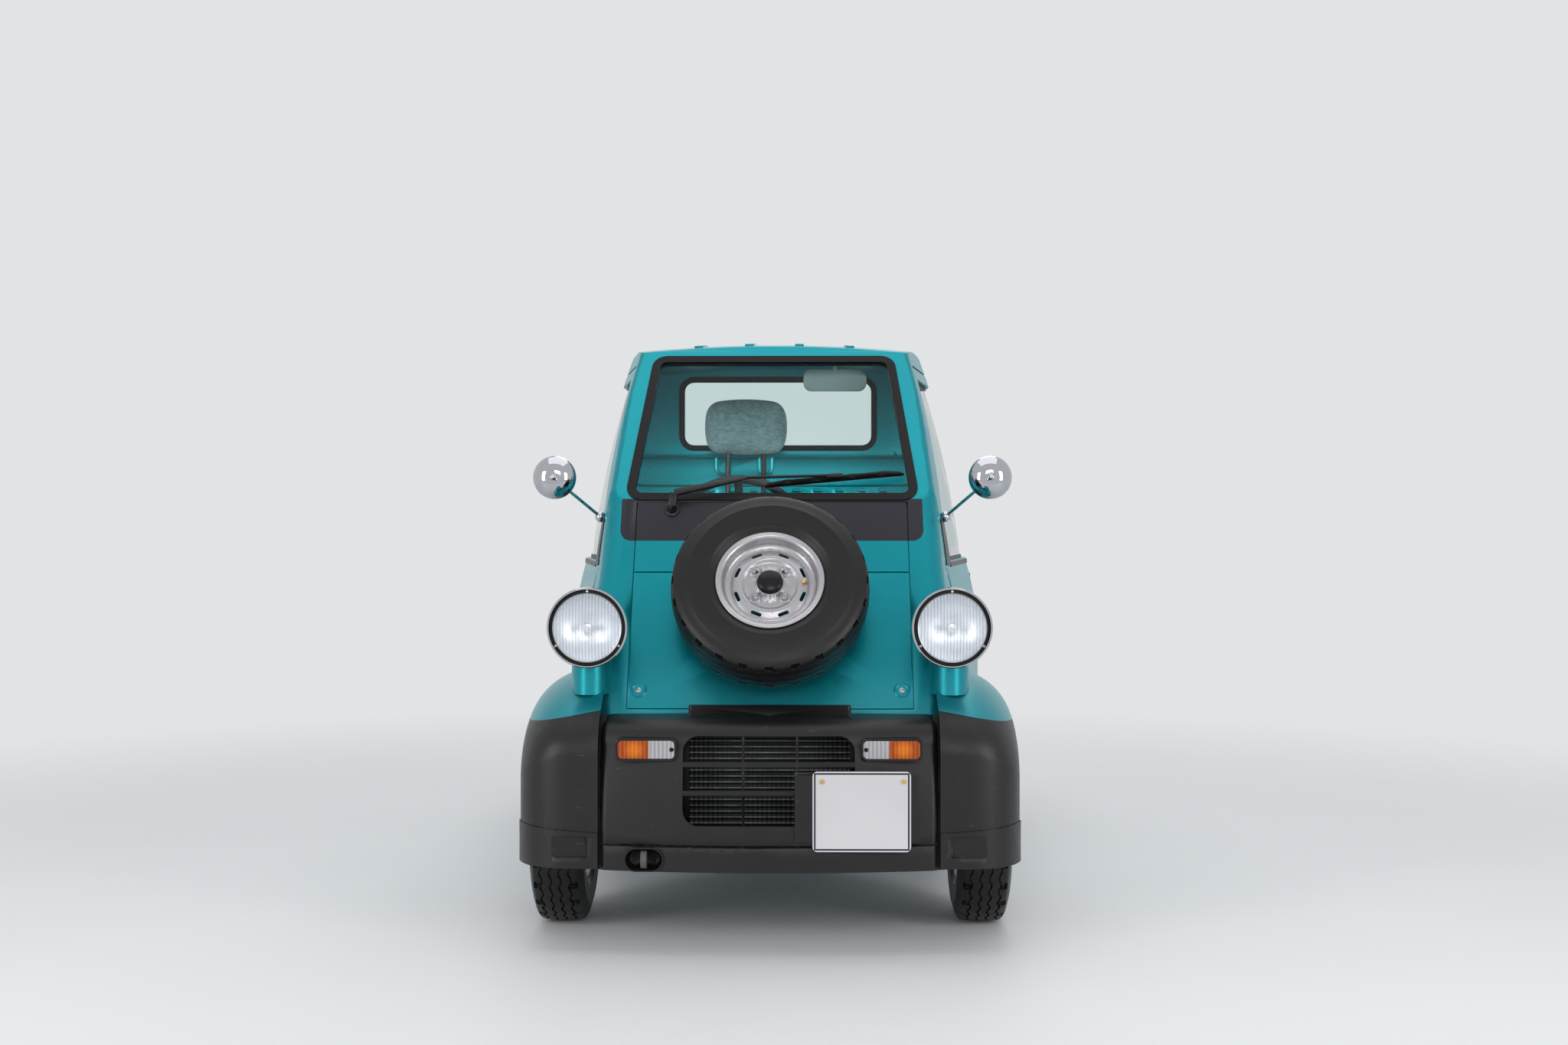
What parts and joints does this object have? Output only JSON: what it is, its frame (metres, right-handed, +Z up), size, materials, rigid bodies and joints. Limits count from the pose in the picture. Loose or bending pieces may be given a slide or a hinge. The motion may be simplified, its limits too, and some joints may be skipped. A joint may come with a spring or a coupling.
{
  "type": "kei pickup truck",
  "caption": "Small single-seat cab-over pickup with leaning nose, nose-mounted spare wheel, round lamps, opening doors, steering front wheels and an open bed with a drop tailgate.",
  "frame": {"origin": "on the ground under the middle of the truck's overall box", "axes": "+X to the truck's left side, +Y to the rear (the front faces -Y), +Z up"},
  "size_m": [1.33, 2.7929, 1.6495],
  "materials": {
    "body_paint": "metallic teal paint, gloss, faded and dusty",
    "dark_trim": "black plastic, satin",
    "chassis_black": "black chassis paint, matte",
    "cast_grey": "rough",
    "alloy_grey": "rough cast",
    "chrome_trim": "polished",
    "wheel_silver": "silver paint, dusty",
    "tyre_rubber": "matte",
    "seal_rubber": "matte",
    "clear_glass": "clear",
    "lens_glass": "clear, fluted",
    "signal_lens": "amber and clear lens",
    "tail_lens": "red lens",
    "plate_white": "white paint, bare",
    "seat_fabric": "woven, worn",
    "dash_plastic": "grained",
    "steel_bright": "worn"
  },
  "bodies": {
    "truck": {"chassis_frame": "chassis_black", "cab_floor": "body_paint", "cab_shell": "body_paint", "cab_roof": "body_paint", "rear_wall": "body_paint", "nose_panel": "body_paint", "cowl_panel": "body_paint", "cab_glass": "clear_glass", "windshield_seal": "seal_rubber", "front_bumper": "dark_trim", "grille": "dark_trim", "radiator": "alloy_grey", "front_fenders": "body_paint", "wheel_arch_flares": "dark_trim", "headlight_shells": "body_paint", "headlight_rings": "chrome_trim", "headlight_lenses": "lens_glass", "turn_signals": "signal_lens", "front_plate": "plate_white", "tow_hook": "chassis_black", "wiper": "dark_trim", "tyre_spare": "tyre_rubber", "rim_spare": "wheel_silver", "dashboard": "dash_plastic", "seat_cushions": "seat_fabric", "headrest": "seat_fabric", "interior_mirror": "dark_trim", "cab_controls": "steel_bright", "engine": "cast_grey", "front_suspension": "chassis_black", "rear_axle": "cast_grey", "leaf_springs": "chassis_black", "fuel_tank": "chassis_black", "exhaust": "steel_bright", "bed_floor": "body_paint", "bed_walls": "body_paint", "tail_lamps": "tail_lens", "rear_bumper": "dark_trim"},
    "left_door": {"door_left": "body_paint", "door_glass_left": "clear_glass", "door_trim_left": "dark_trim", "mirror_left": "chrome_trim"},
    "right_door": {"door_right": "body_paint", "door_glass_right": "clear_glass", "door_trim_right": "dark_trim", "mirror_right": "chrome_trim"},
    "tailgate": {"tailgate": "body_paint"},
    "steering_wheel": {"steering_wheel": "dash_plastic"},
    "left_knuckle": {"knuckle_left": "cast_grey"},
    "right_knuckle": {"knuckle_right": "cast_grey"},
    "wheel_front_left": {"tyre_front_left": "tyre_rubber", "rim_front_left": "wheel_silver"},
    "wheel_front_right": {"tyre_front_right": "tyre_rubber", "rim_front_right": "wheel_silver"},
    "wheel_rear_left": {"tyre_rear_left": "tyre_rubber", "rim_rear_left": "wheel_silver"},
    "wheel_rear_right": {"tyre_rear_right": "tyre_rubber", "rim_rear_right": "wheel_silver"}
  },
  "joints": [
    {"name": "left_door_hinge", "type": "hinge", "parent": "truck", "child": "left_door", "pos_m": [0.491, -0.848, 0.88], "axis": [-0.1289, 0, 0.9917], "range_deg": [-60, 0]},
    {"name": "right_door_hinge", "type": "hinge", "parent": "truck", "child": "right_door", "pos_m": [-0.491, -0.848, 0.88], "axis": [0.1289, 0, 0.9917], "range_deg": [0, 60]},
    {"name": "tailgate_hinge", "type": "hinge", "parent": "truck", "child": "tailgate", "pos_m": [0, 1.383, 0.632], "axis": [1, 0, 0], "range_deg": [-90, 0]},
    {"name": "left_steer", "type": "hinge", "parent": "truck", "child": "left_knuckle", "pos_m": [0.505, -0.929, 0.2], "axis": [-0.2008, 0, 0.9796], "range_deg": [-35, 35]},
    {"name": "right_steer", "type": "hinge", "parent": "truck", "child": "right_knuckle", "pos_m": [-0.505, -0.929, 0.2], "axis": [0.2008, 0, 0.9796], "range_deg": [-35, 35]},
    {"name": "steering_turn", "type": "hinge", "parent": "truck", "child": "steering_wheel", "pos_m": [-0.1, -0.57, 1.075], "axis": [0, 0.766, 0.6428], "range_deg": [-525, 525]},
    {"name": "front_left_spin", "type": "hinge", "parent": "left_knuckle", "child": "wheel_front_left", "pos_m": [0.564, -0.929, 0.26], "axis": [1, 0, 0], "continuous": true},
    {"name": "front_right_spin", "type": "hinge", "parent": "right_knuckle", "child": "wheel_front_right", "pos_m": [-0.564, -0.929, 0.26], "axis": [1, 0, 0], "continuous": true},
    {"name": "rear_left_spin", "type": "hinge", "parent": "truck", "child": "wheel_rear_left", "pos_m": [0.555, 0.911, 0.26], "axis": [1, 0, 0], "continuous": true},
    {"name": "rear_right_spin", "type": "hinge", "parent": "truck", "child": "wheel_rear_right", "pos_m": [-0.555, 0.911, 0.26], "axis": [1, 0, 0], "continuous": true}
  ],
  "couplings": [
    {"joint": "right_steer", "follows": "left_steer", "ratio": 1},
    {"joint": "steering_turn", "follows": "left_steer", "ratio": 15}
  ]
}
